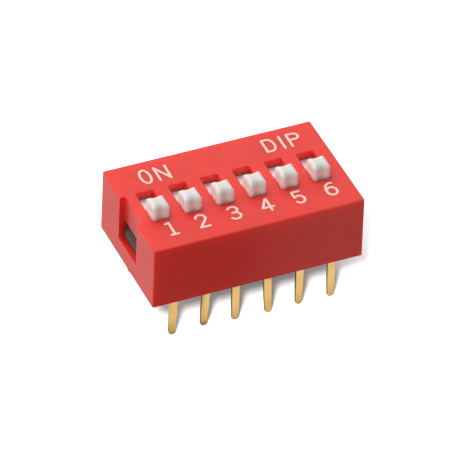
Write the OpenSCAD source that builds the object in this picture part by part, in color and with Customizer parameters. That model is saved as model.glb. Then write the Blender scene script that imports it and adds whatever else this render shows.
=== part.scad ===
// Through-hole slide switch in a dual in-line package: a row of small on/off slides in one housing.
// X runs along the row, +Y towards the ON side, +Z up. Z = 0 is the plane that sits on the circuit board.

/* [Row] */
// Number of switches in the row
positions = 6; // [1:1:12]
// Distance between neighbouring switches, and between neighbouring pins
pitch = 2.54; // [2.1:0.01:3.1]
// Distance between the two rows of pins
row_spacing = 7.62; // [6.3:0.01:9.2]

/* [Clearances] */
// Gap on each side of a piece that slides
slide_gap = 0.04; // [0.02:0.01:0.08]
// Gap between the base and the cover that snaps over it
fit_gap = 0.04; // [0.01:0.01:0.06]
// Gap between a contact's feet and the pads they wipe
wipe_gap = 0.01; // [0.005:0.005:0.03]

/* [Cover] */
// Height of the cover above the circuit board
cover_h = 5.25; // [4.3:0.05:6.5]
// Thickness of the top plate round the slots
top_t = 0.7; // [0.5:0.05:1]
// Thickness of the long walls
side_wall = 0.7; // [0.5:0.05:1]
// Thickness of the end walls
end_wall = 0.85; // [0.7:0.05:1.2]
// Thickness of the ribs that keep neighbouring actuators apart
divider_t = 0.34; // [0.25:0.01:0.5]
// Lean of each outer wall, in degrees
draft = 0.4; // [0:0.1:1.2]
// Width of the broken upright corners
corner_break = 0.06; // [0.03:0.01:0.3]
// Width of the broken edge round the top
edge_break = 0.06; // [0.03:0.01:0.06]
// Radius of the slots' corners
slot_r = 0.1; // [0.04:0.01:0.12]

/* [Notch and windows] */
// Width of the notch that marks the first switch's end, and of the snap window in each end wall
notch_w = 3.25; // [2:0.05:4]
// Depth of the notch into the end wall
notch_d = 0.46; // [0.3:0.02:0.5]
// Height of the notch, from its ledge to the top of the cover
notch_h = 3.76; // [3.3:0.02:4]
// Height of the snap windows above the ledge
window_h = 1.56; // [1.2:0.02:1.7]

/* [Base] */
// Height of the base's underside above the circuit board
base_lift = 0.15; // [0.1:0.05:0.3]
// Height of the pads, level with the floor of each pocket
floor_z = 1.05; // [0.95:0.05:1.3]
// Thickness of the walls between neighbouring pockets
pocket_wall = 0.64; // [0.5:0.02:0.8]
// Plastic outside each row of terminals
terminal_cover = 0.275; // [0.2:0.005:0.4]
// How far the snap lug stands out of the base
lug_d = 0.52; // [0.4:0.02:0.6]
// Height of the lug's upright face
lug_face_h = 0.6; // [0.2:0.05:0.7]
// Space under the lug in its window
lug_lift = 0.25; // [0.05:0.01:0.3]
// Space beside and above the lug in its window
lug_space = 0.12; // [0.05:0.01:0.2]
// Lead-in round the base's upper edge
lead_in = 0.15; // [0.05:0.05:0.25]
// Width of the base's broken upright corners
base_corner = 0.2; // [0.1:0.05:0.4]

/* [Actuator] */
// How far an actuator slides from OFF to ON
travel = 1.75; // [1.4:0.05:2.2]
// Thickness of the shelf that closes the slot from inside
shelf_t = 0.7; // [0.5:0.05:0.9]
// How far the shelf reaches past the slot at each end of its travel
shelf_overlap = 0.06; // [0.03:0.01:0.1]
// Height of the block under the shelf that the contact hangs from
block_h = 0.8; // [0.5:0.05:1]
// Length of that block
block_l = 1.5; // [1.2:0.05:1.8]
// Thickness and height of the cheeks beside the contact
cheek = [0.2, 0.3]; // [0.1:0.05:0.5]
// Radius of the peg that the contact is staked on
peg_r = 0.18; // [0.12:0.01:0.22]

/* [Knob] */
// Width of the knob, along the row
knob_w = 1.3; // [1:0.02:1.5]
// Length of the knob, along its travel
knob_l = 1.54; // [1.2:0.02:1.9]
// Height of the knob above the cover
knob_rise = 1.1; // [0.8:0.05:1.4]
// Radius of the knob's front and back top edges
knob_brow_r = 0.5; // [0.1:0.01:0.55]
// Radius of the knob's side top edges
knob_edge_r = 0.15; // [0.05:0.01:0.2]
// Radius of the knob's upright corners
knob_corner_r = 0.12; // [0.08:0.01:0.2]
// Depth and radius of the finger groove along the top
top_groove = [0.08, 1.3]; // [0.05:0.01:1.5]
// Depth and radius of the grooves down the front and back
face_groove = [0.15, 0.7]; // [0.05:0.01:1]

/* [Terminals] */
// Width of a pin
pin_w = 0.6; // [0.5:0.01:0.65]
// Width of a pin's round tip
tip_w = 0.46; // [0.4:0.01:0.5]
// Length over which a pin narrows to its tip
taper_l = 1.6; // [1:0.1:2]
// Thickness of the strip that the terminals are stamped from
strip_t = 0.25; // [0.2:0.01:0.3]
// Length of a pin below the circuit board's upper face
pin_l = 4.06; // [3:0.01:5]
// Inside radius of the bend from pad to pin
bend_r = 0.15; // [0.1:0.01:0.25]
// Plastic on each side of a pad, between it and the pocket wall
pad_margin = 0.3; // [0.2:0.02:0.35]
// Gap between the two pads of a switch
pad_space = 0.5; // [0.35:0.05:0.7]
// Plastic under the shoulder of each terminal
shoulder_cover = 0.1; // [0.05:0.05:0.2]

/* [Contact] */
// Thickness of the contact spring
spring_t = 0.12; // [0.08:0.01:0.15]
// Space between the spring and each cheek
spring_space = 0.05; // [0.03:0.01:0.08]
// Length of the contact's flat top from the middle to its bend
crown_l = 0.45; // [0.35:0.01:0.55]
// Slope of the contact's legs, in degrees
leg_slope = 75; // [65:1:80]
// Inside radius of the bends at the crown and at the foot
spring_r = [0.2, 0.25]; // [0.15:0.01:0.3]
// Length of the toe past each foot, and its slope in degrees
toe = [0.15, 30]; // [0.1:0.05:40]
// Width of the slit that makes two fingers of each leg
slit_w = 0.2; // [0.12:0.02:0.26]

/* [Hidden] */
$fn = 48;
eps = 0.01; // how far a cutter runs past the face it cuts

// A length to the nearest thousandth, so that faces worked out in two ways still meet
function to_micron(x) = round(x * 1000) / 1000;

row_l = (positions - 1) * pitch;
rest_y = -travel / 2; // actuators rest at OFF, towards -Y

// How each pin stands: its shift along the row, then its lean in degrees along the row and outwards
front_set = [
    [0.21, -0.5, -1.6], [0.24, -0.9, -3], [0.01, 0.7, 0],
    [-0.06, 2.1, 2.2], [0.02, 0, 1], [-0.01, 0.5, 1.4]
];
back_set = [
    [0.1, 0, 0.8], [0, -0.8, 0], [-0.05, 0.6, 1.2],
    [0.05, 0, -1], [0, -0.5, 0.5], [0.04, 0.7, 0]
];

// across the row
shelf_w = pitch - divider_t - 2 * slide_gap;
pocket_w = pitch - pocket_wall;
slot_w = knob_w + 2 * slide_gap;
spring_w = pocket_w - 4 * slide_gap - 2 * (cheek[0] + spring_space);
pad_w = pocket_w - 2 * pad_margin;

// the housing's outline
inner_l = row_l + shelf_w + 2 * slide_gap;
cover_l = inner_l + 2 * end_wall;
inner_w = row_spacing + strip_t + 2 * (terminal_cover + fit_gap);
cover_w = inner_w + 2 * side_wall;
base_l = inner_l - 2 * fit_gap;
base_w = inner_w - 2 * fit_gap;

// along the travel
slot_l = knob_l + travel + 2 * slide_gap;
shelf_l = slot_l + travel + 2 * shelf_overlap;

// heights
ceiling_z = cover_h - top_t;
ledge_z = cover_h - notch_h;
shelf_z = ceiling_z - slide_gap - shelf_t;
base_top = shelf_z - slide_gap;
block_z = shelf_z - block_h;
knob_top = cover_h + knob_rise;

// the contact: its legs are as long as it takes to bring the feet down to the pads
crown_mid_r = spring_r[0] + spring_t / 2;
foot_mid_r = spring_r[1] + spring_t / 2;
spring_h = block_z - floor_z - wipe_gap;
leg_drop = spring_h - spring_t - (crown_mid_r + foot_mid_r) * (1 - cos(leg_slope));
leg_l = to_micron(leg_drop / sin(leg_slope));
foot_y = crown_l + (crown_mid_r + foot_mid_r) * sin(leg_slope) + leg_l * cos(leg_slope);
toe_y = to_micron(foot_y + foot_mid_r * sin(toe[1]) + toe[0] * cos(toe[1]) + spring_t / 2);
pocket_l = 2 * (toe_y + travel / 2 + 2 * slide_gap);

// the front pad carries both feet at OFF, and the back pad takes the rear foot at ON
front_pad_end = to_micron(rest_y + foot_y + spring_t + pad_space / 2);
back_pad_end = front_pad_end + pad_space;
bend_y = row_spacing / 2 - strip_t / 2 - bend_r;
bend_z = floor_z - strip_t - bend_r;
shoulder_z = base_lift + shoulder_cover;

// Middle of switch i along the row
function place(i) = (i - (positions + 1) / 2) * pitch;

// How pin i stands, repeated where the row is longer than the list
function set_of(list, i) = list[(i - 1) % len(list)];

// The same stance on a terminal that is turned half round
function turned(stance) = [-stance[0], -stance[1], stance[2]];

// Slab whose front and back faces each lean in by lean from bottom to top
module leaning_slab(l, w, h, lean) {
    rotate([90, 0, 90])
        linear_extrude(l, center = true)
            polygon([[-w / 2, 0], [w / 2, 0], [w / 2 - lean, h], [lean - w / 2, h]]);
}

// Block whose four sides lean in by lean from bottom to top; c is how far its upright corners are cut
module leaning_block(l, w, h, c, lean) {
    intersection() {
        leaning_slab(2 * l, w, h, lean);
        rotate(90)
            leaning_slab(2 * w, l, h, lean);
        rotate(45)
            leaning_slab(l + w, (l + w - 2 * c) / sqrt(2), h, lean * sqrt(2));
        rotate(-45)
            leaning_slab(l + w, (l + w - 2 * c) / sqrt(2), h, lean * sqrt(2));
    }
}

// The same block with a broken edge round its top
module edged_block(l, w, h, c, lean, edge) {
    body_h = h - edge;
    body_lean = lean * body_h / h;
    leaning_block(l, w, body_h, c, body_lean);
    translate([0, 0, body_h])
        leaning_block(l - 2 * body_lean, w - 2 * body_lean, edge, c, edge);
}

// Outline with round corners, centred on the origin
module round_cornered(l, w, r) {
    square([l - 2 * r, w], center = true);
    square([l, w - 2 * r], center = true);
    for (x = [-1, 1], y = [-1, 1])
        translate([x * (l / 2 - r), y * (w / 2 - r)])
            circle(r);
}

// Upright outline with round top corners, standing on the X axis
module round_topped(w, h, r) {
    translate([-w / 2, 0])
        square([w, h - r]);
    translate([r - w / 2, 0])
        square([w - 2 * r, h]);
    for (x = [-1, 1])
        translate([x * (w / 2 - r), h - r])
            circle(r);
}

// Box centred on X and Y that stands on z
module standing_box(l, w, h, z = 0) {
    translate([-l / 2, -w / 2, z])
        cube([l, w, h]);
}

// Strip of sheet metal from the origin along +Y, top face at z = 0. Each step is
// [straight length, bend in degrees, inside radius]: a bend above 0 turns up, one below 0 turns down
module bent_strip(steps, w, t, k = 0) {
    if (k < len(steps)) {
        run = steps[k][0];
        bend = steps[k][1];
        r = steps[k][2];
        side = bend > 0 ? 1 : -1;
        axis_z = bend > 0 ? r : -t - r;
        translate([-w / 2, 0, -t])
            cube([w, run, t]);
        if (bend != 0)
            translate([0, run, axis_z]) {
                rotate([0, 90, 0])
                    rotate([0, 0, bend > 0 ? 0 : 180 + bend])
                        rotate_extrude(angle = abs(bend))
                            translate([r, -w / 2])
                                square([t, w]);
                rotate([bend, 0, 0])
                    translate([0, 0, -axis_z])
                        bent_strip(steps, w, t, k + 1);
            }
    }
}

// Open-bottomed red shell: slots for the knobs, ribs between the shelves, a snap window at each end, and a
// notch above the window at the first switch's end
module cover() {
    color("#ec4a45")
        difference() {
            union() {
                difference() {
                    edged_block(cover_l, cover_w, cover_h, corner_break, cover_h * tan(draft), edge_break);
                    standing_box(inner_l, inner_w, ceiling_z + eps, -eps);
                }
                for (i = [1 : 1 : positions - 1])
                    translate([place(i) + pitch / 2, 0, 0])
                        standing_box(divider_t, inner_w, ceiling_z - shelf_z, shelf_z);
            }
            for (i = [1 : positions])
                translate([place(i), 0, ceiling_z - eps])
                    linear_extrude(top_t + 2 * eps)
                        round_cornered(slot_w, slot_l, slot_r);
            translate([-cover_l / 2, 0, 0])
                standing_box(2 * notch_d, notch_w, cover_h, ledge_z);
            for (side = [-1, 1])
                translate([side * cover_l / 2, 0, 0])
                    standing_box(2 * (end_wall + eps), notch_w, window_h, ledge_z);
        }
}

// Wedge that snaps into a window: flat below, sloping back to the base above
module snap_lug() {
    lug_w = notch_w - 2 * lug_space;
    low = ledge_z + lug_lift;
    high = ledge_z + window_h - lug_space;
    rotate([90, 0, 0])
        linear_extrude(lug_w, center = true)
            polygon([[-eps, low], [lug_d, low], [lug_d, low + lug_face_h], [-eps, high]]);
}

// Black base: a pocket for each switch, the terminals moulded in, and a snap lug at each end
module base() {
    color("#2b2b2a")
        difference() {
            union() {
                translate([0, 0, base_lift])
                    edged_block(base_l, base_w, base_top - base_lift, base_corner, 0, lead_in);
                for (side = [0, 180])
                    rotate(side)
                        translate([base_l / 2, 0, 0])
                            snap_lug();
            }
            for (i = [1 : positions]) {
                translate([place(i), 0, 0])
                    standing_box(pocket_w, pocket_l, base_top, floor_z);
                terminal_front(i);
                terminal_back(i);
            }
        }
}

// Thumb knob on the shelf, waisted by a groove along its top and down its front and back
module knob() {
    knob_z = shelf_z + shelf_t - eps;
    h = knob_top - knob_z;
    difference() {
        translate([0, 0, knob_z])
            intersection() {
                linear_extrude(h)
                    round_cornered(knob_w, knob_l, knob_corner_r);
                rotate([90, 0, 90])
                    linear_extrude(knob_w, center = true)
                        round_topped(knob_l, h, knob_brow_r);
                rotate([90, 0, 0])
                    linear_extrude(knob_l, center = true)
                        round_topped(knob_w, h, knob_edge_r);
            }
        translate([0, 0, knob_top + top_groove[1] - top_groove[0]])
            rotate([90, 0, 0])
                cylinder(h = knob_l + 2 * eps, r = top_groove[1], center = true);
        for (side = [-1, 1])
            translate([0, side * (knob_l / 2 + face_groove[1] - face_groove[0]), cover_h - top_t / 2])
                cylinder(h = knob_rise + top_t, r = face_groove[1]);
    }
}

// White actuator i at OFF: knob, shelf under the slot, and the block and peg that carry the contact
module actuator(i) {
    seat_w = spring_w + 2 * spring_space;
    seat_z = block_z - cheek[1];
    color("#eae5de")
        translate([place(i), rest_y, 0]) {
            knob();
            standing_box(shelf_w, shelf_l, shelf_t, shelf_z);
            difference() {
                standing_box(seat_w + 2 * cheek[0], block_l, shelf_z + eps - seat_z, seat_z);
                standing_box(seat_w, block_l + 2 * eps, cheek[1] + eps, seat_z - eps);
            }
            translate([0, 0, seat_z])
                cylinder(h = cheek[1] + eps, r = peg_r);
        }
}

// Gold spring i: flat crown on the peg, two slit legs, and feet that wipe the pads
module contact(i) {
    color("#d9b25f")
        translate([place(i), rest_y, block_z])
            difference() {
                for (side = [0, 180])
                    rotate(side)
                        bent_strip([
                            [crown_l, -leg_slope, spring_r[0]],
                            [leg_l, leg_slope + toe[1], spring_r[1]],
                            [toe[0], 0, 0]
                        ], spring_w, spring_t);
                cylinder(h = 3 * spring_t, r = peg_r + spring_space, center = true);
                for (side = [0, 180])
                    rotate(side)
                        translate([-slit_w / 2, crown_l + crown_mid_r, -spring_h - spring_t])
                            cube([slit_w, pocket_l, spring_h]);
            }
}

// Outline of a pin that hangs from the X axis and narrows to its round tip
module pin_outline() {
    tip_z = tip_w / 2 - pin_l;
    taper_z = taper_l - pin_l;
    polygon([
        [-pin_w / 2, eps], [-pin_w / 2, taper_z], [-tip_w / 2, tip_z],
        [tip_w / 2, tip_z], [pin_w / 2, taper_z], [pin_w / 2, eps]
    ]);
    translate([0, tip_z])
        circle(d = tip_w);
}

// Stamped terminal, +Y outwards: pad from pad_end, bend, shoulder, and a pin in its own stance
module terminal(pad_end, stance) {
    translate([-pad_w / 2, pad_end, floor_z - strip_t])
        cube([pad_w, bend_y - pad_end, strip_t]);
    translate([0, bend_y, bend_z])
        rotate([0, 90, 0])
            rotate(90)
                rotate_extrude(angle = 90)
                    translate([bend_r, -pad_w / 2])
                        square([strip_t, pad_w]);
    translate([0, row_spacing / 2, 0]) {
        standing_box(pad_w, strip_t, bend_z - shoulder_z, shoulder_z);
        translate([stance[0], 0, 0]) {
            standing_box(pin_w, strip_t, shoulder_z + eps, 0);
            rotate([90 + stance[2], -stance[1], 0])
                linear_extrude(strip_t, center = true)
                    pin_outline();
        }
    }
}

module terminal_front(i) {
    color("#d9b25f")
        translate([place(i), 0, 0])
            rotate(180)
                terminal(-front_pad_end, turned(set_of(front_set, i)));
}

module terminal_back(i) {
    color("#d9b25f")
        translate([place(i), 0, 0])
            terminal(back_pad_end, set_of(back_set, i));
}

cover();
base();
for (i = [1 : positions]) {
    actuator(i);
    contact(i);
    terminal_front(i);
    terminal_back(i);
}
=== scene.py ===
"""A row of six slide switches in a red housing: finish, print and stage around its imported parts."""

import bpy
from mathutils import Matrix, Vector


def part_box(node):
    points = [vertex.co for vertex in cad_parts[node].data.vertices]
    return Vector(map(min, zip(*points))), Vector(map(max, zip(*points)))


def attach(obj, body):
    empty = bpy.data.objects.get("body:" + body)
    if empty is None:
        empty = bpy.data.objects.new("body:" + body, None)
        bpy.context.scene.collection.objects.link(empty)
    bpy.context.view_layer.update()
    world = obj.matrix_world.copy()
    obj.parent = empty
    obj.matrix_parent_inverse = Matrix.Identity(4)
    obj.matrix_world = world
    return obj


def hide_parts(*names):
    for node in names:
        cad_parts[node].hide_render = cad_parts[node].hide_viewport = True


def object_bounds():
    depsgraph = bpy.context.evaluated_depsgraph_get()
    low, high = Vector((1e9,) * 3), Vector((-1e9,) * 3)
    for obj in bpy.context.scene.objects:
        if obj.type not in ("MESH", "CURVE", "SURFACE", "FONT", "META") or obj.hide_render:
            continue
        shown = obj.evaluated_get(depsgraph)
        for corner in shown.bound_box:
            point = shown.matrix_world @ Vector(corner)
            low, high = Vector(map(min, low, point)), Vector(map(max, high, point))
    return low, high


bl_info = {
    "name": "Slide Switch Row",
    "version": (1, 0, 0),
    "blender": (4, 5, 0),
    "location": "View3D > Sidebar > Switch Row",
    "description": "Finishes a dual in-line row of slide switches around its packed parts",
    "category": "Object",
}

import math

import bmesh
import bpy
import numpy as np
from bpy.props import FloatProperty, FloatVectorProperty, PointerProperty
from mathutils import Matrix, Vector

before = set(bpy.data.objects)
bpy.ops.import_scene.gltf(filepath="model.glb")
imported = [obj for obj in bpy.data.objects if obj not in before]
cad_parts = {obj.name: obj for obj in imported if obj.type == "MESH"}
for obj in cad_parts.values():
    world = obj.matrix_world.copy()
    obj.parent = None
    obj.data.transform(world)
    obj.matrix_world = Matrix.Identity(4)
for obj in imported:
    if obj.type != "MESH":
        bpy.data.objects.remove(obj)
CAD_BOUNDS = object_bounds()

MM = 0.001
HOUSING = "housing"
SWITCHES = sum(name.startswith("actuator_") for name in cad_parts)
COVER_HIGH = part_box("cover")[1]  # the cover's far corner: half its length, half its width and its top
SEAT_Z = CAD_BOUNDS[0].z  # height of the pins' tips, where the floor lies


def centre_x(node):
    """Middle of a CAD node along the row."""
    low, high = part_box(node)
    return (low.x + high.x) / 2


# ---------------------------------------------------------------- settings


def length(name, description, millimetres):
    """A length setting, given in millimetres and held in metres."""
    return FloatProperty(
        name=name,
        description=description,
        default=millimetres * MM,
        min=0.0,
        precision=6,
        unit="LENGTH",
    )


def share(name, description, default):
    """A setting from 0 to 1."""
    return FloatProperty(
        name=name, description=description, default=default, min=0.0, max=1.0, subtype="FACTOR"
    )


def degrees(name, description, default):
    """An angle setting, given in degrees and held in radians."""
    return FloatProperty(name=name, description=description, default=math.radians(default), subtype="ANGLE")


def power(name, description, watts):
    """The setting of a lamp's power."""
    return FloatProperty(name=name, description=description, default=watts, min=0.0, unit="POWER")


def direction(name, description, default):
    """A setting that points from the middle to a place around it."""
    return FloatVectorProperty(
        name=name, description=description, default=default, size=3, subtype="DIRECTION"
    )


def colour(name, description, default):
    """A linear colour setting."""
    return FloatVectorProperty(
        name=name, description=description, default=default, min=0.0, max=1.0, size=3, subtype="COLOR"
    )


class HousingSettings(bpy.types.PropertyGroup):
    """Edges and plastics of the cover and the base."""

    cover_edge: length("Cover edge", "Radius of the cover's moulded edges", 0.042)
    base_edge: length("Base edge", "Radius of the base's moulded edges", 0.03)
    red: colour("Red", "Colour of the cover's plastic", (0.83, 0.029, 0.018))
    black: colour("Black", "Colour of the base's plastic", (0.028, 0.015, 0.012))


class SlideSettings(bpy.types.PropertyGroup):
    """Shape and plastic of the slides that the finger moves."""

    knob_width: length("Knob width", "Width of the knob along the row", 1.3)
    knob_length: length("Knob length", "Length of the knob along its travel", 1.54)
    corner: length("Corner", "Radius of the knob's upright corners", 0.16)
    side_round: length("Side rounding", "Radius of the knob's side top edges", 0.32)
    brow_round: length("Brow rounding", "Height of the knob's front and back top edges' rounding", 0.45)
    brow_reach: length("Brow reach", "How far that rounding reaches along the travel", 0.6)
    saddle_depth: length("Saddle depth", "Depth of the finger groove along the top", 0.05)
    saddle_width: length("Saddle width", "Half width of the finger groove", 0.5)
    waist_depth: length("Waist depth", "Depth of the groove down the knob's front", 0.15)
    back_waist: length("Back waist depth", "Depth of the groove down the knob's back", 0.04)
    waist_width: length("Waist width", "Half width of those two grooves", 0.45)
    flare: length("Flare", "How far each side of the knob widens down to its foot", 0.03)
    shelf_drop: length("Shelf drop", "How far the shelf's top lies below the cover's", 0.72)
    shelf_edge: length("Shelf edge", "Radius of the shelf's edges", 0.04)
    shelf_thickness: length("Shelf thickness", "Thickness of the shelf under the slot", 0.7)
    block_width: length("Block width", "Width of the block under the shelf", 1.74)
    block_length: length("Block length", "Length of the block under the shelf", 1.5)
    cheek: length("Cheek", "Thickness of the cheeks beside the contact", 0.2)
    cheek_drop: length("Cheek drop", "Height of the cheeks and the peg below the block", 0.3)
    peg: length("Peg", "Radius of the peg that holds the contact", 0.18)
    # painted shade and light: the knobs' tops get a darker colour and their sides a lighter one for how
    # light falls on them, not for finger wear
    white: colour("White", "Colour of the knobs' tops, dulled by fingers", (0.72, 0.72, 0.71))
    fresh: colour("Fresh white", "Colour of the knobs' sides", (0.9, 0.89, 0.875))
    # painted light: the shelf's lighter, pinker colour stands for the light and red bounce from the walls in
    # the slot; nothing rubs off on it
    shelf: colour("Shelf white", "Colour of the shelf, where the housing rubs off on it", (0.98, 0.91, 0.88))
    rubbed: length("Rubbed depth", "Depth below the cover's top from which the shelf's colour fades", 0.7)
    # heights over which the knobs turn from the lighter side colour to the darker top colour, the painted
    # shade
    dull_start: length("Dull start", "Height above the cover at which the fingers' dulling starts", 0.3)
    dull_full: length("Dull height", "Height above the cover at which that dulling is full", 0.95)


class MetalSettings(bpy.types.PropertyGroup):
    """Edges and plating of the pins and springs."""

    edge: length("Stamped edge", "Radius of the pins' stamped edges", 0.03)
    gold: colour("Gold", "Colour of the plating", (0.88, 0.56, 0.2))
    tarnish: colour("Tarnish", "Colour of the plating where it is thin", (0.55, 0.32, 0.11))
    # the plating gets a darker colour towards the tips, up to the height set next
    wear: share("Tip wear", "How far the plating is worn through at the tips", 0.55)
    wear_height: length("Wear height", "Height over the tips at which that wear ends", 2.0)
    tip: length("Tip width", "Width of a pin just above its round end", 0.51)
    plain_tip: length("CAD tip width", "Width that end has in the CAD part", 0.46)
    taper: length("Taper", "Length over which a pin narrows, its round end included", 1.6)


class PrintSettings(bpy.types.PropertyGroup):
    """Letters and numbers printed on the top."""

    stroke: length("Stroke", "Width of a printed stroke", 0.192)
    film: length("Ink film", "Thickness of the ink", 0.012)
    number_height: length("Number height", "Height of the numbers", 1.36)
    number_base: length("Number line", "How far in front of the middle the numbers stand", 3.6)
    number_shift: length("Number shift", "How far the numbers stand along the row from their slides", 0.09)
    on_height: length("ON height", "Height of the letters ON", 1.45)
    on_base: length("ON line", "How far behind the middle the letters ON stand", 2.46)
    on_shift: length("ON shift", "How far ON stands from the first slide along the row", 1.42)
    on_spacing: length("ON spacing", "Distance between the letters of ON", 1.34)
    dip_height: length("DIP height", "Height of the letters DIP", 1.35)
    dip_base: length("DIP line", "How far behind the middle the letters DIP stand", 2.62)
    dip_shift: length("DIP shift", "How far DIP stands back from the last slide along the row", 1.06)
    dip_spacing: length("DIP spacing", "Distance between the letters of DIP", 1.0)
    ink: colour("Ink", "Colour of the print", (0.98, 0.63, 0.53))


class StageSettings(bpy.types.PropertyGroup):
    """Camera, lights and floor."""

    azimuth: degrees("Azimuth", "Side that the camera stands on", -24.85)
    elevation: degrees("Elevation", "Height of the camera", 39.57)
    roll: degrees("Roll", "Tilt of the camera", 2.41)
    distance: length("Distance", "From the camera to the point that it looks at", 412.4)
    lens: FloatProperty(
        name="Lens", description="Focal length in millimetres", default=443.6, subtype="DISTANCE_CAMERA"
    )
    target: FloatVectorProperty(
        name="Target",
        description="Point that the camera looks at",
        default=(-0.168 * MM, 0.083 * MM, 1.106 * MM),
        size=3,
        precision=6,
        subtype="TRANSLATION",
    )
    lamp_distance: length("Lamp distance", "From the middle to each lamp", 500.0)
    key_power: power("Key light", "Power of the key light", 1.4)
    key_size: length("Key size", "Width of the key light's square panel", 250.0)
    key_side: direction("Key side", "Where the key light stands", (-0.1, 0.55, 0.82))
    floor_power: power("Floor lamp", "Power of the lamp that lights the floor alone", 3.5)
    floor_lamp_size: length("Floor lamp size", "Width of that lamp's round panel", 80.0)
    floor_lamp_turn: degrees("Floor lamp turn", "Side that the floor lamp stands on", -34.0)
    floor_lamp_lean: degrees("Floor lamp lean", "How far it stands from straight above", 46.0)
    ambient: share("Ambient", "Strength of the light from all round", 0.62)
    tilt: share("Tilt", "How much more of that light comes from the bright side", 0.88)
    bright_side: direction("Bright side", "Side from which more of that light comes", (-0.93, 0.36, 0.0))
    floor_albedo: share("Floor", "Brightness of the floor as it lights the object", 0.2)
    floor_sheen: share("Floor in reflections", "Brightness of the floor as it shows in reflections", 1.0)
    shadow: share("Shadow", "How strongly the floor shows the object's shadow", 0.92)
    # painted shade: reflections see a darker patch of floor in front of the object, for its shadow there; no
    # card stands in the scene
    card: share("Card", "Brightness of the grey card that lies in front of the object, out of view", 0.45)
    card_start: length("Card start", "How far in front of the middle the card starts", 9.4)
    card_end: length("Card end", "How far the card reaches along the row to each side of the middle", 4.5)
    card_soft: length("Card softness", "Half width of the card's soft near edge", 1.0)
    card_end_soft: length("Card end softness", "Half width of the card's soft ends", 3.0)
    under_inset: length("Underside inset", "How far inside the walls reflections show the shaded floor", 1.2)
    under_soft: length("Underside softness", "Width over which the shaded floor turns pale there", 0.6)


# ---------------------------------------------------------------- shader trees


class Value:
    """An output of a shader node. Arithmetic on it adds the Math nodes."""

    def __init__(self, shader, socket):
        self.shader = shader
        self.socket = socket

    def _math(self, operation, first, second):
        return self.shader.node("ShaderNodeMath", {"operation": operation}, {0: first, 1: second})

    def __add__(self, other):
        return self._math("ADD", self, other)

    def __radd__(self, other):
        return self._math("ADD", other, self)

    def __sub__(self, other):
        return self._math("SUBTRACT", self, other)

    def __rsub__(self, other):
        return self._math("SUBTRACT", other, self)

    def __mul__(self, other):
        return self._math("MULTIPLY", self, other)

    def __rmul__(self, other):
        return self._math("MULTIPLY", other, self)

    def __pow__(self, other):
        return self._math("POWER", self, other)

    def __rpow__(self, other):
        return self._math("POWER", other, self)

    def __abs__(self):
        return self._math("ABSOLUTE", self, 0.0)

    def at_least(self, limit):
        """The value, or limit where that is greater."""
        return self._math("MAXIMUM", self, limit)

    def at_most(self, limit):
        """The value, or limit where that is smaller."""
        return self._math("MINIMUM", self, limit)


class Shader:
    """The node tree of a material or of the world."""

    def __init__(self, owner):
        owner.use_nodes = True
        self.owner = owner
        self.tree = owner.node_tree
        self.tree.nodes.clear()

    def node(self, kind, settings=None, sockets=None, output=0):
        """Adds a node of a kind: its settings are set first, then the value or link of each socket."""
        node = self.tree.nodes.new(kind)
        for key, value in (settings or {}).items():
            setattr(node, key, value)
        for key, value in (sockets or {}).items():
            socket = self.find(node.inputs, key)
            if isinstance(value, Value):
                self.tree.links.new(value.socket, socket)
            else:
                socket.default_value = value
        return Value(self, self.find(node.outputs, output)) if node.outputs else None

    def find(self, sockets, key):
        """The socket with that number, identifier or name."""
        if isinstance(key, int):
            return sockets[key]
        return next(socket for socket in sockets if key in (socket.identifier, socket.name))

    def millimetres(self, stretch=(1.0, 1.0, 1.0)):
        """The point on the object in millimetres, stretched on each axis."""
        place = self.node("ShaderNodeTexCoord", output="Object")
        scale = tuple(s / MM for s in stretch)
        return self.node("ShaderNodeVectorMath", {"operation": "MULTIPLY"}, {0: place, 1: scale})

    def noise(self, place, scale, detail):
        """Smooth noise from 0 to 1, with scale bumps to the millimetre."""
        return self.node(
            "ShaderNodeTexNoise",
            {"noise_dimensions": "3D"},
            {"Vector": place, "Scale": scale, "Detail": detail, "Roughness": 0.5},
            "Fac",
        )

    def fade(self, value, low, high):
        """0 below low, 1 above high, and a smooth rise between."""
        return self.node(
            "ShaderNodeMapRange",
            {"interpolation_type": "SMOOTHSTEP"},
            {"Value": value, "From Min": low, "From Max": high},
        )

    def blend(self, factor, first, second):
        """Colour first where factor is 0 and second where it is 1."""
        return self.node(
            "ShaderNodeMix",
            {"data_type": "RGBA"},
            {"Factor_Float": factor, "A_Color": first, "B_Color": second},
            "Result_Color",
        )

    def mix(self, factor, first, second):
        """Shader first where factor is 0 and second where it is 1."""
        return self.node("ShaderNodeMixShader", {}, {0: factor, 1: first, 2: second})

    def bump(self, height, depth):
        """A normal bent by a height from 0 to 1 that stands for depth in metres."""
        sockets = {"Height": height, "Distance": depth, "Strength": 1.0}
        return self.node("ShaderNodeBump", {}, sockets, "Normal")

    def surface(self, sockets):
        """Ends the tree in a Principled shader."""
        self.output(self.node("ShaderNodeBsdfPrincipled", {}, sockets))

    def output(self, shader, kind="ShaderNodeOutputMaterial"):
        """Ends the tree in its output."""
        self.node(kind, {}, {"Surface": shader})


def rgba(values, gain=1.0):
    """A colour with its alpha, made brighter or darker by gain."""
    return tuple(v * gain for v in values) + (1.0,)


WHITE = rgba((1.0, 1.0, 1.0))


def material(name):
    """A new material's shader tree."""
    return Shader(bpy.data.materials.new(name))


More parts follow.
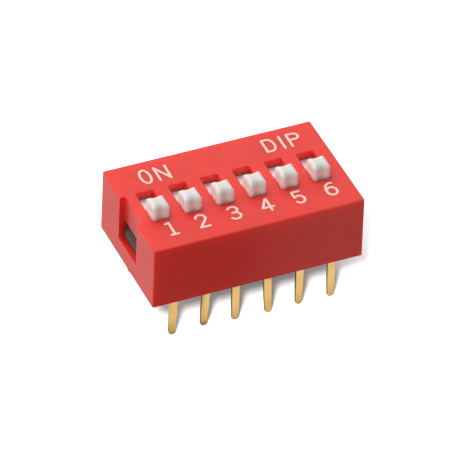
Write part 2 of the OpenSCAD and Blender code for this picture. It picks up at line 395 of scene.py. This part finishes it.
def red_plastic(values):
    """Glossy moulded red plastic: cloudy where the melt flowed, finely grained, with a satin sheen."""
    shader = material("red_plastic")
    place = shader.millimetres()
    flow = shader.noise(place, 0.45, 3.0)
    cloud = shader.noise(place, 2.2, 2.0)
    grain = shader.noise(place, 14.0, 2.0)
    deep = shader.blend(shader.fade(flow, 0.3, 0.7), rgba(values.red, 0.95), rgba(values.red, 1.04))
    warm = (values.red[0], values.red[1] * 1.5, values.red[2] * 0.9, 1.0)
    tint = shader.blend(0.35 * shader.fade(cloud, 0.45, 0.75), deep, warm)
    relief = 0.7 * grain + 0.3 * cloud
    shader.surface(
        {
            "Base Color": tint,
            "Roughness": 0.36 + 0.1 * cloud + 0.06 * grain,
            "Normal": shader.bump(relief, 0.004 * MM),
            "IOR": 1.6,
            "Subsurface Weight": 1.0,
            "Subsurface Radius": (1.0, 0.1, 0.06),
            "Subsurface Scale": 0.9 * MM,
        }
    )
    return shader.owner


def black_plastic(values):
    """Matt black moulded plastic with a fine grain and faint grey flow marks."""
    shader = material("black_plastic")
    place = shader.millimetres()
    flow = shader.noise(place, 0.8, 3.0)
    grain = shader.noise(place, 18.0, 2.0)
    tint = shader.blend(shader.fade(flow, 0.35, 0.75), rgba(values.black), rgba(values.black, 1.8))
    shader.surface(
        {
            "Base Color": tint,
            "Roughness": 0.34 + 0.12 * grain,
            "Normal": shader.bump(grain, 0.004 * MM),
            "IOR": 1.5,
        }
    )
    return shader.owner


def white_plastic(values):
    """Milky white moulded plastic that lets a little light in. The knobs' tops carry painted shade and
    their sides painted light, and the shelf in the slot is painted lighter and pinker, for light and red
    bounce.
    """
    shader = material("white_plastic")
    place = shader.millimetres()
    flow = shader.noise(place, 0.9, 2.0)
    grain = shader.noise(place, 16.0, 2.0)
    ivory = (values.white[0], values.white[1] * 0.97, values.white[2] * 0.92, 1.0)
    height = shader.node("ShaderNodeSeparateXYZ", {}, {"Vector": place}, "Z")
    dimmed = shader.blend(shader.fade(flow, 0.35, 0.7), rgba(values.white), ivory)
    top = COVER_HIGH.z
    # painted shade on the knobs' upper parts and painted light on their lower walls
    top_shade = shader.fade(height, (top + values.dull_start) / MM, (top + values.dull_full) / MM)
    # painted light and red bounce on the shelf, below the cover's top
    above = shader.fade(height, (top - values.rubbed) / MM, top / MM)
    knob = shader.blend(top_shade, rgba(values.fresh), dimmed)
    shader.surface(
        {
            "Base Color": shader.blend(above, rgba(values.shelf), knob),
            "Roughness": 0.34 + 0.12 * grain,
            "Normal": shader.bump(grain, 0.003 * MM),
            "IOR": 1.5,
            "Subsurface Weight": 1.0,
            "Subsurface Radius": (1.0, 0.8, 0.7),
            "Subsurface Scale": 0.6 * MM,
        }
    )
    return shader.owner


def gold_plate(values):
    """Gold plating on stamped strip: fine lines along the pin, dull patches where the gold is thin, and
    plating that is darker towards the tips."""
    shader = material("gold_plate")
    drawn = shader.noise(shader.millimetres((14.0, 14.0, 0.7)), 1.0, 3.0)
    patch = shader.noise(shader.millimetres(), 1.4, 3.0)
    height = shader.node("ShaderNodeSeparateXYZ", {}, {"Vector": shader.millimetres()}, "Z")
    # darker towards the tips, up to the set height above them
    dimmed = values.wear - values.wear * shader.fade(height, SEAT_Z / MM, (SEAT_Z + values.wear_height) / MM)
    thin = 0.4 * shader.fade(patch, 0.5, 0.8) + 0.15 * shader.fade(drawn, 0.55, 0.8) + dimmed
    shader.surface(
        {
            "Base Color": shader.blend(thin, rgba(values.gold), rgba(values.tarnish)),
            "Roughness": 0.2 + 0.18 * patch + 0.12 * drawn,
            "Normal": shader.bump(drawn, 0.003 * MM),
            "Metallic": 1.0,
        }
    )
    return shader.owner


def ink_film(values):
    """Cream ink, printed a little unevenly."""
    shader = material("print_ink")
    place = shader.millimetres()
    body = shader.noise(place, 6.0, 2.0)
    grain = shader.noise(place, 22.0, 2.0)
    thin = (values.ink[0], values.ink[1] * 0.86, values.ink[2] * 0.8, 1.0)
    shader.surface(
        {
            "Base Color": shader.blend(0.6 * shader.fade(body, 0.5, 0.75), rgba(values.ink), thin),
            "Roughness": 0.45 + 0.15 * grain,
            "Normal": shader.bump(grain, 0.002 * MM),
        }
    )
    return shader.owner


# ---------------------------------------------------------------- surfaces

MERGED = 0.0002 * MM  # corners of a CAD mesh that are nearer than this are one
FLAT = math.radians(0.5)  # triangles that meet at less than this are one flat face
SHARP = math.radians(30.0)  # edges that turn by more than this are rounded


def grid_faces(rings, points, loop=False):
    """Quads between neighbouring rings of points that each close on themselves, as rows of four indices."""
    ring, point = np.meshgrid(np.arange(rings if loop else rings - 1), np.arange(points), indexing="ij")
    along = (point + 1) % points
    onward = (ring + 1) % rings
    this, other = ring * points, onward * points
    corners = [this + point, this + along, other + along, other + point]
    return np.stack(corners, -1).reshape(-1, 4)


def tube(rings):
    """Closed skin through rings of points, an array of (ring, point, place). A fan to its middle closes each
    end."""
    count, points = rings.shape[:2]
    vertices = np.concatenate([rings.reshape(-1, 3), rings[0].mean(0)[None], rings[-1].mean(0)[None]])
    start, end = count * points, count * points + 1
    step = np.arange(points)
    onward = (step + 1) % points
    last = (count - 1) * points
    first_fan = np.stack([np.full(points, start), onward, step], -1)
    last_fan = np.stack([np.full(points, end), last + step, last + onward], -1)
    return vertices, grid_faces(count, points).tolist() + first_fan.tolist() + last_fan.tolist()


def hoop(rings):
    """Closed skin through rings of points that come back to the first ring."""
    count, points = rings.shape[:2]
    return rings.reshape(-1, 3), grid_faces(count, points, loop=True).tolist()


def piece(name, shells, look, smooth_below):
    """One mesh object made of closed shells, with its faces turned outwards and its place in its mesh."""
    vertices, faces, start = [], [], 0
    for shell_vertices, shell_faces in shells:
        vertices.append(shell_vertices)
        faces += [[start + k for k in face] for face in shell_faces]
        start += len(shell_vertices)
    mesh = bpy.data.meshes.new(name)
    mesh.from_pydata(np.concatenate(vertices).tolist(), [], faces)
    finish_mesh(mesh, smooth_below)
    made = bpy.data.objects.new(name, mesh)
    bpy.context.scene.collection.objects.link(made)
    made.data.materials.append(look)
    return made


def finish_mesh(mesh, smooth_below):
    """Turns the faces outwards and shades them smooth, but for edges that turn by more than that angle."""
    work = bmesh.new()
    work.from_mesh(mesh)
    bmesh.ops.recalc_face_normals(work, faces=work.faces)
    for edge in work.edges:
        edge.smooth = edge.calc_face_angle(0.0) < math.radians(smooth_below)
    for face in work.faces:
        face.smooth = True
    work.to_mesh(mesh)
    work.free()


def moulded_copy(node, name, edge, look, segments=3, broaden=None):
    """A copy of a CAD node's mesh, merged, with its flat faces joined and its edges rounded by a Bevel
    modifier. broaden, if given, turns the array of corners into the array of their new places."""
    work = bmesh.new()
    work.from_mesh(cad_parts[node].data)
    bmesh.ops.remove_doubles(work, verts=work.verts, dist=MERGED)
    bmesh.ops.dissolve_limit(work, angle_limit=FLAT, verts=work.verts, edges=work.edges)
    for face in work.faces:
        face.smooth = True
    mesh = bpy.data.meshes.new(name)
    work.to_mesh(mesh)
    work.free()
    if broaden is not None:
        corners = np.empty(3 * len(mesh.vertices))
        mesh.vertices.foreach_get("co", corners)
        mesh.vertices.foreach_set("co", broaden(corners.reshape(-1, 3)).ravel())
        mesh.update()
    stale = mesh.attributes.get("custom_normal")
    if stale is not None:
        mesh.attributes.remove(stale)
    made = bpy.data.objects.new(name, mesh)
    bpy.context.scene.collection.objects.link(made)
    mesh.materials.clear()
    mesh.materials.append(look)
    bevel = made.modifiers.new("Edges", "BEVEL")
    bevel.width = edge
    bevel.segments = segments
    bevel.limit_method = "ANGLE"
    bevel.angle_limit = SHARP
    bevel.use_clamp_overlap = False
    bevel.loop_slide = False
    normals = made.modifiers.new("Normals", "WEIGHTED_NORMAL")
    normals.weight = 90  # percent: large faces keep their flat shading
    return made


# ---------------------------------------------------------------- slides

CORNER_POINTS = 9  # along each round corner of an outline
SIDE_POINTS = 24  # along each straight side of it
SLAB_RINGS = 5  # over each edge of a slab
WALL_RINGS = 8  # up a knob's wall
BROW_RINGS = 12  # over a knob's edge
ROOF_RINGS = 12  # from a knob's edge to its middle


def rounded_rectangle(half_x, half_y, radius):
    """Outline of a rectangle with round corners: each corner is a quarter circle, and points fill the
    sides."""
    turns = np.radians(np.linspace(0.0, 90.0, CORNER_POINTS))
    parts = []
    for quarter in range(4):
        angle = turns + quarter * math.pi / 2
        middle = np.array([half_x - radius, half_y - radius]) * np.sign(
            [math.cos(angle.mean()), math.sin(angle.mean())]
        )
        parts.append(middle + radius * np.stack([np.cos(angle), np.sin(angle)], -1))
    outline = []
    for quarter, corner in enumerate(parts):
        onward = parts[(quarter + 1) % 4][0]
        fill = np.linspace(0.0, 1.0, SIDE_POINTS + 2)[1:-1, None]
        outline += [corner, corner[-1] + (onward - corner[-1]) * fill]
    return np.concatenate(outline)


def level(outline, z):
    """An outline at height z, as a ring."""
    return np.concatenate([outline, np.full((len(outline), 1), z)], 1)


def slab_rings(half_x, half_y, corner, low, high, edge):
    """Rings of a slab from its underside to its top. Each edge is a quarter circle of radius edge."""
    turn = np.radians(np.linspace(0.0, 90.0, SLAB_RINGS))
    inset = edge * (1 - np.sin(turn))
    rise = edge * (1 - np.cos(turn))
    steps = [(i, low + r) for i, r in zip(inset, rise)]
    steps += [(i, high - r) for i, r in zip(inset[::-1], rise[::-1])]
    return np.stack([level(rounded_rectangle(half_x - i, half_y - i, corner - i), z) for i, z in steps])


def hump(distance, half_width):
    """1 in the middle, falling as a cosine to 0 at half_width and beyond."""
    inside = np.clip(np.abs(distance) / half_width, 0.0, 1.0)
    return (np.cos(np.pi * inside) + 1) / 2


def knob_rings(values, foot, top):
    """Rings of a knob from its foot to its top. The wall is a rounded rectangle, a little wider at its foot.
    Its front and back are hollowed by a cosine. Over the edge, the outline draws in and rises along a
    quarter circle, whose radius goes from the side edges' to the brows' with the square of the outline's
    normal. The roof is level, less a cosine saddle, and shrinks to its middle."""
    half_x, half_y = values.knob_width / 2, values.knob_length / 2
    turn = np.radians(np.linspace(0.0, 90.0, BROW_RINGS))
    sharper = 0.95  # share of the corners' radius that is gone at the top of the edge

    def placed(outline, z):
        x, y = outline[:, 0], outline[:, 1]
        depth = np.where(y > 0, values.back_waist, values.waist_depth)
        deep = 1 - depth / half_y * hump(x, values.waist_width)
        return np.stack([x, y * deep, z - values.saddle_depth * hump(x, values.saddle_width)], -1)

    rim = rounded_rectangle(half_x, half_y, values.corner)
    onward = np.roll(rim, -1, 0) - np.roll(rim, 1, 0)
    facing = onward[:, 0] ** 2 / (onward**2).sum(1)
    radius = values.side_round + (values.brow_round - values.side_round) * facing
    over = []
    for c, s in zip(np.cos(turn), np.sin(turn)):
        inset = values.side_round * (1 - c)
        reach = values.brow_reach * (1 - c)
        corner = values.corner * (1 - sharper * (1 - c))
        outline = rounded_rectangle(half_x - inset, half_y - reach, corner)
        over.append(placed(outline, top - radius * (1 - s)))
    shrink = np.linspace(1.0, 0.0, ROOF_RINGS)[1:-1]
    roof = [placed(outline * k, np.full(len(outline), top)) for k in shrink]
    wide = values.flare / half_x * np.array([1.0, 0.0, 0.0])
    brim = over[0] * np.array([1.0, 1.0, 0.0]) + np.array([0.0, 0.0, foot])
    rise = np.linspace(0.0, 1.0, WALL_RINGS)[:-1]
    wall = [(brim + (over[0] - brim) * k) * (1 + wide * (1 - k)) for k in rise]
    return np.stack(wall + over + roof)


def slide_shells(values, node):
    """The slide as closed shells: block, shelf and knob are one skin, and the cheeks and the peg stand into
    the block."""
    low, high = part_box(node)
    middle = np.array([(low.x + high.x) / 2, (low.y + high.y) / 2, 0.0])
    half_x, half_y = (high.x - low.x) / 2, (high.y - low.y) / 2
    edge = values.shelf_edge
    ceiling = COVER_HIGH.z - values.shelf_drop
    shelf_low = ceiling - values.shelf_thickness
    block_low = low.z + values.cheek_drop
    block_half_x, block_half_y = values.block_width / 2, values.block_length / 2
    block = slab_rings(block_half_x, block_half_y, 2 * edge, block_low, shelf_low, edge)[: SLAB_RINGS + 1]
    block = np.concatenate([block, block[-1:] + np.array([0.0, 0.0, 1.0]) * (shelf_low - block[-1, 0, 2])])
    shelf = slab_rings(half_x, half_y, 2 * edge, shelf_low, ceiling, edge)
    shells = [tube(np.concatenate([block, shelf, knob_rings(values, ceiling, high.z)]) + middle)]
    cheek = slab_rings(values.cheek / 2, block_half_y, edge, low.z, block_low + 2 * edge, edge / 2)
    for side in (-1, 1):
        place = middle + np.array([side * (block_half_x - values.cheek / 2), 0.0, 0.0])
        shells.append(tube(cheek + place))
    nearly_round = 0.999 * values.peg  # a hair short of a circle, so that no two points meet
    peg = slab_rings(values.peg, values.peg, nearly_round, low.z, block_low + 2 * edge, edge)
    shells.append(tube(peg + middle))
    return shells


# ---------------------------------------------------------------- print

ARC_POINTS = 40  # along each arc of a sign
STROKE_RINGS = 5  # along each width of a stroke
SAME = 1e-9  # points of a path that are nearer than this are one
SECTION = np.radians(np.arange(0.0, 360.0, 15.0))  # angles round a stroke's section
CAP = np.radians(np.linspace(88.0, 15.0, 6))  # angles over a stroke's round end, from its tip
SUNK = 0.3  # share of the ink film that lies below a stroke's line


def line(*points):
    """Straight run through points."""
    return np.array(points, float)


def arc(centre, radii, start, end):
    """Part of an ellipse, from angle start to angle end in degrees."""
    angle = np.radians(np.linspace(start, end, ARC_POINTS))
    return np.stack([centre[0] + radii[0] * np.cos(angle), centre[1] + radii[1] * np.sin(angle)], -1)


def run(*parts):
    """Parts drawn one after another without lifting the pen."""
    return np.concatenate(parts)


# Each sign is a list of pen strokes. A unit is the sign's height. x is 0 at its middle, y is 0 on its line.
SIGNS = {
    "1": [line((-0.09, 0), (0.33, 0)), line((0.12, 0), (0.13, 1)), line((-0.07, 0.93), (0.13, 1))],
    "2": [run(arc((0, 0.73), (0.27, 0.27), 170, -30), line((-0.25, 0))), line((-0.25, 0), (0.27, 0))],
    "3": [
        arc((-0.015, 0.76), (0.265, 0.24), 150, -90),
        arc((-0.015, 0.262), (0.285, 0.262), 90, -150),
        line((-0.1, 0.52), (0, 0.52)),
    ],
    "4": [
        line((0.09, 0.97), (-0.31, 0.28)),
        line((-0.31, 0.28), (0.31, 0.28)),
        line((0.14, 0.97), (0.12, 0)),
    ],
    "5": [
        line((0.18, 0.95), (-0.235, 0.95)),
        line((-0.235, 0.95), (-0.25, 0.53)),
        run(line((-0.25, 0.5)), arc((-0.015, 0.295), (0.265, 0.295), 125, -145)),
    ],
    "6": [arc((0.1, 0.4), (0.38, 0.58), 180, 72), arc((0, 0.316), (0.283, 0.316), 0, 360)],
    "O": [arc((0, 0.5), (0.26, 0.52), 0, 360)],
    "N": [line((-0.295, 0), (-0.295, 1)), line((-0.295, 1), (0.29, 0)), line((0.29, 0), (0.31, 1))],
    "D": [
        line((-0.29, 0), (-0.29, 1)),
        run(line((-0.29, 1)), arc((-0.02, 0.5), (0.31, 0.5), 90, -90), line((-0.29, 0))),
    ],
    "I": [line((0, 0), (0, 1))],
    "P": [
        line((-0.3, 0), (-0.3, 1)),
        run(line((-0.3, 1)), arc((0.06, 0.765), (0.24, 0.235), 90, -90), line((-0.3, 0.53))),
    ],
}


def evenly(path, step):
    """The same path with its points a step apart."""
    gaps = np.linalg.norm(np.diff(path, axis=0), axis=1)
    keep = np.concatenate([[True], gaps > SAME])
    path = path[keep]
    reach = np.concatenate([[0.0], np.cumsum(np.linalg.norm(np.diff(path, axis=0), axis=1))])
    along = np.linspace(0.0, reach[-1], max(3, int(reach[-1] / step) + 1))
    return np.stack([np.interp(along, reach, path[:, 0]), np.interp(along, reach, path[:, 1])], -1)


def pen_stroke(path, width, film, base):
    """A stroke of ink: across the path lies a closed section, a low dome above and nearly flat below. On an
    open path the sections shrink along a half circle at each end, and a closed path meets itself."""
    closed = np.allclose(path[0], path[-1])
    path = evenly(path, width / STROKE_RINGS)
    if closed:
        path = path[:-1]
        tangent = np.roll(path, -1, 0) - np.roll(path, 1, 0)
    else:
        tangent = np.gradient(path, axis=0)
    tangent /= np.linalg.norm(tangent, axis=1)[:, None]
    scale = np.ones(len(path))
    if not closed:
        reach = (width / 2 * np.sin(CAP))[:, None]
        ends = [path[0] - tangent[0] * reach, path[-1] + tangent[-1] * reach[::-1]]
        shrink = np.cos(CAP)
        scale = np.concatenate([shrink, scale, shrink[::-1]])
        path = np.concatenate([ends[0], path, ends[1]])
        first, last = (np.repeat(end, len(CAP), 0) for end in (tangent[:1], tangent[-1:]))
        tangent = np.concatenate([first, tangent, last])
    across = np.stack([-tangent[:, 1], tangent[:, 0]], -1)
    side = np.cos(SECTION) * width / 2
    up = np.sin(SECTION)
    lift = np.where(up > 0, film * np.abs(up) ** 0.5, film * SUNK * up)
    flat = path[:, None, :] + across[:, None, :] * (scale[:, None] * side[None, :])[..., None]
    height = np.broadcast_to(base + lift[None, :] * np.sqrt(scale)[:, None], flat.shape[:2])
    rings = np.concatenate([flat, height[..., None]], -1)
    return hoop(rings) if closed else tube(rings)


def sign_shells(sign, x, y, height, values):
    """The strokes of a sign at a place on the top. Each stroke lies a hair above the one before, as wet ink
    does."""
    hair = values.film / 25
    return [
        pen_stroke(path * height + np.array([x, y]), values.stroke, values.film, COVER_HIGH.z + k * hair)
        for k, path in enumerate(SIGNS[sign])
    ]


# ---------------------------------------------------------------- operators


class SWITCHROW_OT_housing(bpy.types.Operator):
    """Round the moulded edges of the cover and the base"""

    bl_idname = "switch_row.housing"
    bl_label = "Housing"

    def execute(self, context):
        values = context.scene.switch_housing
        cover = moulded_copy("cover", "cover_moulding", values.cover_edge, red_plastic(values))
        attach(cover, HOUSING)
        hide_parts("cover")
        base = moulded_copy("base", "base_moulding", values.base_edge, black_plastic(values))
        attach(base, HOUSING)
        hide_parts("base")
        return {"FINISHED"}


class SWITCHROW_OT_slides(bpy.types.Operator):
    """Make the white slides with their saddled knobs"""

    bl_idname = "switch_row.slides"
    bl_label = "Slides"

    def execute(self, context):
        values = context.scene.switch_slides
        look = white_plastic(values)
        for i in range(1, SWITCHES + 1):
            slide = piece(f"slide_{i}", slide_shells(values, f"actuator_{i}"), look, smooth_below=50.0)
            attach(slide, f"slider_{i}")
            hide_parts(f"actuator_{i}")
        return {"FINISHED"}


class SWITCHROW_OT_metal(bpy.types.Operator):
    """Plate the pins and the contact springs"""

    bl_idname = "switch_row.metal"
    bl_label = "Pins and Springs"

    def execute(self, context):
        values = context.scene.switch_metal
        look = gold_plate(values)
        widen = self.broadened(values)
        for i in range(1, SWITCHES + 1):
            for side in ("front", "back"):
                node = f"terminal_{side}_{i}"
                pin = moulded_copy(node, f"pin_{side}_{i}", values.edge, look, segments=2, broaden=widen)
                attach(pin, HOUSING)
                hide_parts(node)
            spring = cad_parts[f"contact_{i}"]
            spring.material_slots[0].material = look
        return {"FINISHED"}

    def broadened(self, values):
        """A function that makes a pin's taper fuller: a corner between the taper's start and the round end
        moves away from the pin's middle line, in proportion to its own distance and to how far down the
        taper it lies."""
        free = 3.0 * MM  # of a pin's length, all of it below the housing
        slack = 0.1 * MM

        def widen(corners):
            low = corners[:, 2].min()
            pin = corners[:, 2] < low + free
            upper = corners[pin & (corners[:, 2] > low + values.taper - slack)]
            lower = corners[corners[:, 2] < low + values.tip]
            down = np.clip((low + values.taper - corners[:, 2]) / (values.taper - values.tip / 2), 0.0, 1.0)
            middle = upper[:, 0].mean() + (lower[:, 0].mean() - upper[:, 0].mean()) * down
            wider = values.tip / values.plain_tip - 1
            moved = corners.copy()
            moved[:, 0] += pin * down * wider * (corners[:, 0] - middle)
            return moved

        return widen


class SWITCHROW_OT_print(bpy.types.Operator):
    """Print the letters and numbers on the top"""

    bl_idname = "switch_row.print"
    bl_label = "Print"

    def execute(self, context):
        values = context.scene.switch_print
        look = ink_film(values)
        first, last = centre_x("actuator_1"), centre_x(f"actuator_{SWITCHES}")
        words = (
            ("ON", first + values.on_shift, values.on_base, values.on_height, values.on_spacing),
            ("DIP", last - values.dip_shift, values.dip_base, values.dip_height, values.dip_spacing),
        )
        for word, middle, y, height, spacing in words:
            shells = []
            for k, sign in enumerate(word):
                x = middle + (k - (len(word) - 1) / 2) * spacing
                shells += sign_shells(sign, x, y, height, values)
            self.put(f"print_{word.lower()}", shells, look)
        for i in range(1, SWITCHES + 1):
            x = centre_x(f"actuator_{i}") + values.number_shift
            shells = sign_shells(str(i), x, -values.number_base, values.number_height, values)
            self.put(f"print_{i}", shells, look)
        return {"FINISHED"}

    def put(self, name, shells, look):
        """Adds a printed sign that rides on the housing."""
        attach(piece(name, shells, look, smooth_below=60.0), HOUSING)


class SWITCHROW_OT_stage(bpy.types.Operator):
    """Set the floor, the lights and the camera"""

    bl_idname = "switch_row.stage"
    bl_label = "Stage"

    def execute(self, context):
        values = context.scene.switch_stage
        floor = self.floor(context.scene, values)
        self.world(context.scene, values)
        self.lights(context.scene, values, floor)
        self.camera(context.scene, values)
        context.scene.view_settings.view_transform = "Standard"
        return {"FINISHED"}

    def seen(self, shader, *rays):
        """1 for a ray of any of these kinds, and 0 for the others."""
        outputs = shader.node("ShaderNodeLightPath").socket.node.outputs
        return sum(Value(shader, outputs[ray]) for ray in rays).at_most(1.0)

    def floor(self, scene, values):
        """A wide pale floor under the pins. The camera sees it white, with the object's shadow. It lights
        the object as a darker floor. In reflections it is pale, with a patch of painted shade in front of
        the object and true shade under the object."""
        half = 1.0
        corners = [(x, y, SEAT_Z) for x, y in ((-half, -half), (half, -half), (half, half), (-half, half))]
        mesh = bpy.data.meshes.new("floor")
        mesh.from_pydata(corners, [], [(0, 1, 2, 3)])
        floor = bpy.data.objects.new("floor", mesh)
        scene.collection.objects.link(floor)
        shader = material("floor_white")
        lit = shader.node("ShaderNodeBsdfDiffuse", {}, {"Color": rgba((values.floor_albedo,) * 3)})
        pale = shader.node("ShaderNodeBsdfDiffuse", {}, {"Color": WHITE})
        white = shader.node("ShaderNodeEmission", {}, {"Color": WHITE, "Strength": 1.0})
        shown = shader.mix(values.shadow, white, pale)
        # painted shade in reflections: the floor's brightness drops on the patch in front of the object
        sheen = values.floor_sheen * (1.0 - (1.0 - values.card) * self.card(shader, values))
        gleam = shader.node("ShaderNodeEmission", {}, {"Color": WHITE, "Strength": sheen})
        inset = values.under_inset
        under = 1.0 - shader.fade(self.outside(shader, inset), 0.0, values.under_soft)
        mirrored = shader.mix(under, gleam, lit)
        straight = shader.mix(self.seen(shader, "Is Camera Ray"), lit, shown)
        glossy = self.seen(shader, "Is Glossy Ray", "Is Transmission Ray")
        shader.output(shader.mix(glossy, straight, mirrored))
        mesh.materials.append(shader.owner)
        return floor

    def axes(self, shader):
        """A floor point's places along the row and across it, in metres."""
        place = shader.node("ShaderNodeTexCoord", output="Object")
        split = shader.node("ShaderNodeSeparateXYZ", {}, {0: place}).socket.node.outputs
        return Value(shader, split[0]), Value(shader, split[1])

    def outside(self, shader, inset):
        """How far a floor point lies outside the object's footprint drawn in by inset, in metres."""
        along, across = self.axes(shader)
        beside = (abs(along) - (COVER_HIGH.x - inset)).at_least(0.0)
        ahead = (abs(across) - (COVER_HIGH.y - inset)).at_least(0.0)
        return (beside**2.0 + ahead**2.0) ** 0.5

    def card(self, shader, values):
        """1 on the patch of painted shade in front of the object, which only reflections see, with soft
        edges.
        """
        along, across = self.axes(shader)
        start, soft = values.card_start, values.card_soft
        end, end_soft = values.card_end, values.card_end_soft
        ahead = shader.fade(0.0 - across, start - soft, start + soft)
        return ahead * (1.0 - shader.fade(abs(along), end - end_soft, end + end_soft))

    def world(self, scene, values):
        """Light from all round, more of it from the bright side, seen as white."""
        scene.world = bpy.data.worlds.new("studio")
        shader = Shader(scene.world)
        bright = self.seen(shader, "Is Camera Ray", "Is Glossy Ray", "Is Transmission Ray")
        way = shader.node("ShaderNodeTexCoord", output="Generated")
        side = shader.node(
            "ShaderNodeVectorMath", {"operation": "DOT_PRODUCT"}, {0: way, 1: values.bright_side}, "Value"
        )
        soft = values.ambient + values.ambient * values.tilt * side
        strength = soft + (1.0 - soft) * bright
        light = shader.node("ShaderNodeBackground", {}, {"Color": WHITE, "Strength": strength})
        shader.output(light, "ShaderNodeOutputWorld")

    def lights(self, scene, values, floor):
        """A wide lamp above and behind, which leaves no highlight, and a small one that lights the floor
        alone, for the object's shadow."""
        turn = Vector(values.key_side).to_track_quat("Z", "Y").to_matrix()
        far = values.lamp_distance
        key = self.lamp(scene, "key", "SQUARE", values.key_size, values.key_power, turn, far)
        key.visible_glossy = False
        turn = Matrix.Rotation(values.floor_lamp_turn, 3, "Z")
        turn = turn @ Matrix.Rotation(values.floor_lamp_lean, 3, "X")
        size, watts = values.floor_lamp_size, values.floor_power
        small = self.lamp(scene, "floor_lamp", "DISK", size, watts, turn, far)
        only = bpy.data.collections.new("floor_only")
        only.objects.link(floor)
        small.light_linking.receiver_collection = only

    def lamp(self, scene, name, shape, size, watts, turn, far):
        """An area lamp that looks at the middle from far metres away: turn takes straight up to its side."""
        light = bpy.data.lights.new(name, "AREA")
        light.shape = shape
        light.size = size
        light.energy = watts
        lamp = bpy.data.objects.new(name, light)
        scene.collection.objects.link(lamp)
        lamp.location = turn @ Vector((0.0, 0.0, far))
        lamp.rotation_euler = turn.to_euler()
        return lamp

    def camera(self, scene, values):
        """A long lens that looks down on the front and the left end."""
        lens = bpy.data.cameras.new("camera")
        lens.lens = values.lens
        lens.sensor_width = 36.0
        lens.clip_start = 0.01
        lens.clip_end = 10.0
        camera = bpy.data.objects.new("camera", lens)
        scene.collection.objects.link(camera)
        turn = Matrix.Rotation(values.azimuth, 3, "Z")
        turn = turn @ Matrix.Rotation(math.pi / 2 - values.elevation, 3, "X")
        turn = turn @ Matrix.Rotation(values.roll, 3, "Z")
        place = Vector(values.target) + turn @ Vector((0.0, 0.0, values.distance))
        camera.matrix_world = Matrix.Translation(place) @ turn.to_4x4()
        scene.camera = camera


class SWITCHROW_PT_panel(bpy.types.Panel):
    """The steps that build the switch row, with their settings"""

    bl_idname = "SWITCHROW_PT_panel"
    bl_label = "Switch Row"
    bl_space_type = "VIEW_3D"
    bl_region_type = "UI"
    bl_category = "Switch Row"

    def draw(self, context):
        for operator, group in zip(OPERATORS, GROUPS):
            box = self.layout.box()
            box.operator(operator.bl_idname)
            settings = getattr(context.scene, group)
            for name in type(settings).__annotations__:
                box.prop(settings, name)


GROUPS = {
    "switch_housing": HousingSettings,
    "switch_slides": SlideSettings,
    "switch_metal": MetalSettings,
    "switch_print": PrintSettings,
    "switch_stage": StageSettings,
}
OPERATORS = (
    SWITCHROW_OT_housing,
    SWITCHROW_OT_slides,
    SWITCHROW_OT_metal,
    SWITCHROW_OT_print,
    SWITCHROW_OT_stage,
)


def register():
    """Adds the settings, the operators and the panel."""
    for group in GROUPS.values():
        bpy.utils.register_class(group)
    for name, group in GROUPS.items():
        setattr(bpy.types.Scene, name, PointerProperty(type=group))
    for operator in (*OPERATORS, SWITCHROW_PT_panel):
        bpy.utils.register_class(operator)


def unregister():
    """Takes them away again."""
    for operator in (SWITCHROW_PT_panel, *reversed(OPERATORS)):
        bpy.utils.unregister_class(operator)
    for name, group in GROUPS.items():
        delattr(bpy.types.Scene, name)
        bpy.utils.unregister_class(group)


def main():
    """Builds everything in order."""
    register()
    bpy.ops.switch_row.housing()
    bpy.ops.switch_row.slides()
    bpy.ops.switch_row.metal()
    bpy.ops.switch_row.print()
    bpy.ops.switch_row.stage()


if __name__ == "__main__":
    main()
